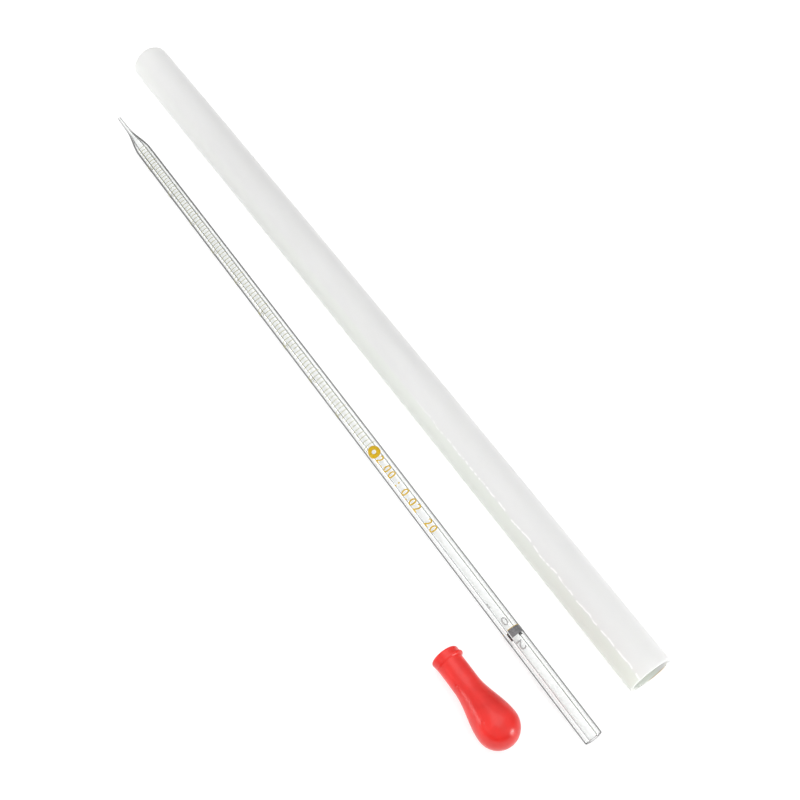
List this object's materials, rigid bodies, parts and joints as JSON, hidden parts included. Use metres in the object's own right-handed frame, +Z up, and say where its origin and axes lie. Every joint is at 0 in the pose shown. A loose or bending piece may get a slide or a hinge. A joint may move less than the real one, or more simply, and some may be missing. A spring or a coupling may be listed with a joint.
{
  "type": "graduated pipette set",
  "caption": "Graduated glass pipette with a drawn tip, laid out with its rubber suction bulb and an open plastic storage tube.",
  "frame": {"origin": "on the table plane, under the middle of the whole layout", "axes": "+Z up; +Y along all three long axes, from the pipette's mouth to its drawn tip; +X from the bulb's side to the storage tube's side"},
  "size_m": [0.0706, 0.38, 0.0177],
  "materials": {
    "clear_glass": "clear drawn glass tubing, fire-polished at the mouth",
    "red_rubber": "moulded red rubber with a soft sheen",
    "white_plastic": "cloudy white extruded plastic with a waxy sheen",
    "amber_enamel": "fired amber enamel",
    "grey_enamel": "fired grey enamel"
  },
  "bodies": {
    "tube": {"storage_tube": "white_plastic"},
    "pipette": {"glass_pipette": "clear_glass"},
    "bulb": {"rubber_bulb": "red_rubber"}
  },
  "joints": [
    {"name": "pipette_push", "type": "slide", "parent": "tube", "child": "pipette", "axis": [0, -0.9989, 0.0468], "range_m": [0, 0.04705]},
    {"name": "bulb_carry", "type": "slide", "parent": "tube", "child": "bulb", "axis": [0.2733, -0.9619, 0], "range_m": [0, 0.09294]}
  ]
}
